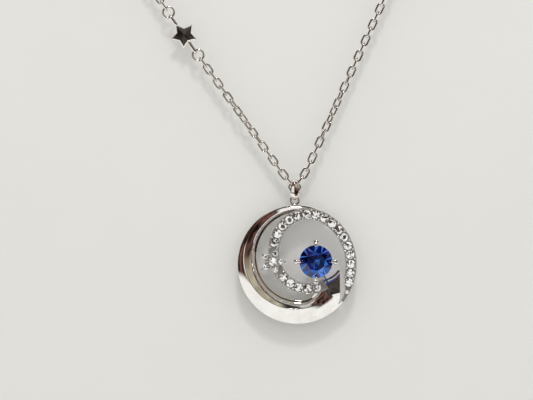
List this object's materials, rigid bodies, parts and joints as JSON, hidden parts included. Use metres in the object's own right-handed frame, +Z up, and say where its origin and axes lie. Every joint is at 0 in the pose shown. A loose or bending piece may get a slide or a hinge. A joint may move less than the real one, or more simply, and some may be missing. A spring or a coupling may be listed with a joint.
{
  "type": "pendant necklace",
  "caption": "Fine cable-chain necklace with an openwork spiral pendant, stone-set band, blue round stone in claws, star charm, extender and spring-ring clasp.",
  "frame": {"origin": "centre of the pendant's round outline, on its flat back", "axes": "+Z up towards the chain, +X to the right as seen from the front, +Y out of the flat back, so the front faces -Y"},
  "size_m": [0.1045, 0.0042, 0.1737],
  "materials": {
    "polished_silver": "rhodium-plated silver, polished",
    "chain_silver": "bright silver chain wire",
    "clear_stone": "clear faceted stones",
    "blue_stone": "deep blue faceted stone"
  },
  "bodies": {
    "chain_centre": {"chain_centre_link": "chain_silver"},
    "bail": {"bail": "polished_silver"},
    "pendant": {"crescent": "polished_silver", "pave_band": "polished_silver", "pave_stones": "clear_stone", "star_plate": "polished_silver", "star_stones": "clear_stone", "stone_basket": "polished_silver", "centre_stone": "blue_stone", "pendant_loop": "polished_silver"},
    "left_1": {"chain_left_1": "chain_silver"},
    "left_2": {"chain_left_2": "chain_silver"},
    "left_3": {"chain_left_3": "chain_silver"},
    "left_4": {"chain_left_4": "chain_silver"},
    "left_5": {"chain_left_5": "chain_silver"},
    "left_6": {"chain_left_6": "chain_silver"},
    "charm_ring_low": {"charm_ring_lower": "polished_silver"},
    "charm": {"star_charm": "polished_silver"},
    "charm_ring_top": {"charm_ring_upper": "polished_silver"},
    "extender_ring": {"extender_ring": "polished_silver"},
    "extender_1": {"extender_links_1": "chain_silver"},
    "extender_2": {"extender_links_2": "chain_silver"},
    "drop": {"extender_drop": "polished_silver"},
    "right_1": {"chain_right_1": "chain_silver"},
    "right_2": {"chain_right_2": "chain_silver"},
    "right_3": {"chain_right_3": "chain_silver"},
    "right_4": {"chain_right_4": "chain_silver"},
    "right_5": {"chain_right_5": "chain_silver"},
    "right_6": {"chain_right_6": "chain_silver"},
    "clasp_ring": {"clasp_jump_ring": "polished_silver"},
    "clasp": {"clasp_body": "polished_silver", "clasp_eye": "polished_silver", "clasp_spring": "polished_silver"},
    "clasp_bolt": {"clasp_bolt": "polished_silver"}
  },
  "joints": [
    {"name": "bail_swing", "type": "hinge", "parent": "chain_centre", "child": "bail", "pos_m": [-0.0003, -0.00085, 0.00938], "axis": [1, 0, 0], "range_deg": [-30, 30]},
    {"name": "pendant_tilt", "type": "hinge", "parent": "bail", "child": "pendant", "pos_m": [-0.0003, -0.00085, 0.00776], "axis": [0, 1, 0], "range_deg": [-20, 20]},
    {"name": "chain_left_1_fold", "type": "hinge", "parent": "chain_centre", "child": "left_1", "pos_m": [-0.00055, -0.00085, 0.00966], "axis": [0, -1, 0], "range_deg": [0, 30], "stiffness_Nm_per_rad": 0.03},
    {"name": "charm_lower_ring_lift", "type": "hinge", "parent": "left_1", "child": "charm_ring_low", "pos_m": [-0.01168, -0.00085, 0.02493], "axis": [-0.8141, 0, -0.5807], "range_deg": [-40, 40]},
    {"name": "charm_fold", "type": "hinge", "parent": "charm_ring_low", "child": "charm", "pos_m": [-0.01229, -0.00085, 0.02578], "axis": [0, -1, 0], "range_deg": [0, 30], "stiffness_Nm_per_rad": 0.03},
    {"name": "charm_upper_ring_lift", "type": "hinge", "parent": "charm", "child": "charm_ring_top", "pos_m": [-0.0153, -0.00085, 0.03013], "axis": [0.829, 0, 0.5592], "range_deg": [-40, 40]},
    {"name": "chain_left_2_fold", "type": "hinge", "parent": "charm_ring_top", "child": "left_2", "pos_m": [-0.01589, -0.00085, 0.03099], "axis": [0, -1, 0], "range_deg": [0, 30], "stiffness_Nm_per_rad": 0.03},
    {"name": "chain_left_3_lift", "type": "hinge", "parent": "left_2", "child": "left_3", "pos_m": [-0.03508, -0.00085, 0.05895], "axis": [-0.8241, 0, -0.5664], "range_deg": [-40, 40]},
    {"name": "chain_left_4_fold", "type": "hinge", "parent": "left_3", "child": "left_4", "pos_m": [-0.05387, -0.00085, 0.08643], "axis": [0, -1, 0], "range_deg": [0, 30], "stiffness_Nm_per_rad": 0.03},
    {"name": "chain_left_5_lift", "type": "hinge", "parent": "left_4", "child": "left_5", "pos_m": [-0.06109, -0.00085, 0.11895], "axis": [0.9945, 0, -0.1044], "range_deg": [-40, 40]},
    {"name": "chain_left_6_fold", "type": "hinge", "parent": "left_5", "child": "left_6", "pos_m": [-0.04752, -0.00085, 0.14873], "axis": [0, -1, 0], "range_deg": [0, 30], "stiffness_Nm_per_rad": 0.03},
    {"name": "extender_ring_lift", "type": "hinge", "parent": "left_6", "child": "extender_ring", "pos_m": [-0.01761, -0.00085, 0.16471], "axis": [-0.1631, 0, 0.9866], "range_deg": [-40, 40]},
    {"name": "extender_1_swing", "type": "hinge", "parent": "extender_ring", "child": "extender_1", "pos_m": [-0.01633, -0.00085, 0.16413], "axis": [0, 1, 0], "range_deg": [-25, 25]},
    {"name": "extender_2_lift", "type": "hinge", "parent": "extender_1", "child": "extender_2", "pos_m": [-0.01633, -0.00085, 0.14478], "axis": [1, 0, 0], "range_deg": [-40, 40]},
    {"name": "extender_drop_swing", "type": "hinge", "parent": "extender_2", "child": "drop", "pos_m": [-0.01633, -0.00085, 0.12708], "axis": [0, 1, 0], "range_deg": [-40, 40]},
    {"name": "chain_right_1_fold", "type": "hinge", "parent": "chain_centre", "child": "right_1", "pos_m": [-0.00007, -0.00085, 0.00967], "axis": [0, 1, 0], "range_deg": [0, 30], "stiffness_Nm_per_rad": 0.03},
    {"name": "chain_right_2_lift", "type": "hinge", "parent": "right_1", "child": "right_2", "pos_m": [0.00893, -0.00085, 0.02861], "axis": [-0.9114, 0, 0.4115], "range_deg": [-40, 40]},
    {"name": "chain_right_3_fold", "type": "hinge", "parent": "right_2", "child": "right_3", "pos_m": [0.02288, -0.00085, 0.05951], "axis": [0, 1, 0], "range_deg": [0, 30], "stiffness_Nm_per_rad": 0.03},
    {"name": "chain_right_4_lift", "type": "hinge", "parent": "right_3", "child": "right_4", "pos_m": [0.03658, -0.00085, 0.08985], "axis": [0.9114, 0, -0.4115], "range_deg": [-40, 40]},
    {"name": "chain_right_5_fold", "type": "hinge", "parent": "right_4", "child": "right_5", "pos_m": [0.04123, -0.00085, 0.12285], "axis": [0, 1, 0], "range_deg": [0, 30], "stiffness_Nm_per_rad": 0.03},
    {"name": "chain_right_6_lift", "type": "hinge", "parent": "right_5", "child": "right_6", "pos_m": [0.02838, -0.00085, 0.14852], "axis": [-0.7337, 0, -0.6795], "range_deg": [-40, 40]},
    {"name": "clasp_ring_lift", "type": "hinge", "parent": "right_6", "child": "clasp_ring", "pos_m": [0.00364, -0.00085, 0.16352], "axis": [0.2653, 0, 0.9642], "range_deg": [-40, 40]},
    {"name": "clasp_swing", "type": "hinge", "parent": "clasp_ring", "child": "clasp", "pos_m": [0.00267, -0.00085, 0.16324], "axis": [0, 1, 0], "range_deg": [-28, 35]},
    {"name": "clasp_bolt_open", "type": "hinge", "parent": "clasp", "child": "clasp_bolt", "pos_m": [0.00267, -0.00085, 0.15889], "axis": [0, -1, 0], "range_deg": [0, 58], "stiffness_Nm_per_rad": 0.0004, "springref_deg": -20.05, "deforming": ["clasp_spring"]}
  ]
}
